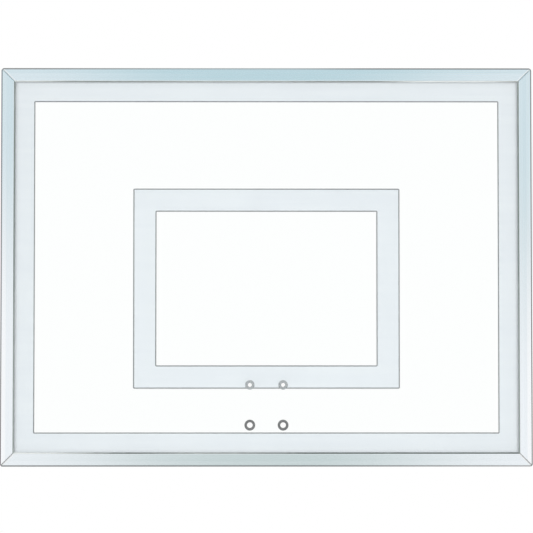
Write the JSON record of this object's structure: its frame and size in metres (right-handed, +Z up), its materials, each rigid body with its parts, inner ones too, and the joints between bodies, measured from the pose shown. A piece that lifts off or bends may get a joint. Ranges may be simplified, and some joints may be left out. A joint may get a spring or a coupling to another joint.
{
  "type": "basketball backboard",
  "caption": "Rectangular clear glass basketball backboard with a metal frame, white border and target, bushed rim bolt holes and rear support plates.",
  "frame": {"origin": "centre of the support bolt pattern, on the plane of the mounting plates' back faces", "axes": "+X along the board to the right as a player sees it, +Y from the playing face to the support, +Z up"},
  "size_m": [1.2192, 0.051, 0.9144],
  "materials": {
    "panel_glass": "clear tempered float glass",
    "print_white": "fired white enamel",
    "print_grey": "fired grey enamel",
    "rail_aluminium": "satin anodised extrusion",
    "gasket_rubber": "grey extruded rubber",
    "grommet_rubber": "moulded dark grey rubber",
    "block_rubber": "cut black rubber",
    "sleeve_zinc_steel": "zinc plated, turned",
    "sleeve_black_steel": "blackened, turned",
    "key_casting": "as cast",
    "plate_steel": "zinc plated",
    "bolt_steel": "bright zinc plated",
    "screw_steel": "stainless"
  },
  "bodies": {
    "root": {"border_keyline": "print_grey", "border_print": "print_white", "corner_key_bottom_left": "key_casting", "corner_key_bottom_right": "key_casting", "corner_key_screws": "screw_steel", "corner_key_top_left": "key_casting", "corner_key_top_right": "key_casting", "edge_blocks": "block_rubber", "frame_rail_bottom": "rail_aluminium", "frame_rail_left": "rail_aluminium", "frame_rail_right": "rail_aluminium", "frame_rail_top": "rail_aluminium", "glass_panel": "panel_glass", "glazing_gasket_bottom": "gasket_rubber", "glazing_gasket_left": "gasket_rubber", "glazing_gasket_right": "gasket_rubber", "glazing_gasket_top": "gasket_rubber", "mounting_plate_bottom_left": "plate_steel", "mounting_plate_bottom_right": "plate_steel", "mounting_plate_top_left": "plate_steel", "mounting_plate_top_right": "plate_steel", "nut_plate_bottom_left": "bolt_steel", "nut_plate_bottom_right": "bolt_steel", "nut_plate_top_left": "bolt_steel", "nut_plate_top_right": "bolt_steel", "plate_bolts": "bolt_steel", "plate_washers": "bolt_steel", "rim_grommet_lower_left": "grommet_rubber", "rim_grommet_lower_right": "grommet_rubber", "rim_grommet_upper_left": "grommet_rubber", "rim_grommet_upper_right": "grommet_rubber", "rim_sleeve_lower_left": "sleeve_black_steel", "rim_sleeve_lower_right": "sleeve_black_steel", "rim_sleeve_upper_left": "sleeve_zinc_steel", "rim_sleeve_upper_right": "sleeve_zinc_steel", "setting_blocks": "block_rubber", "target_keyline": "print_grey", "target_print": "print_white"}
  },
  "joints": []
}
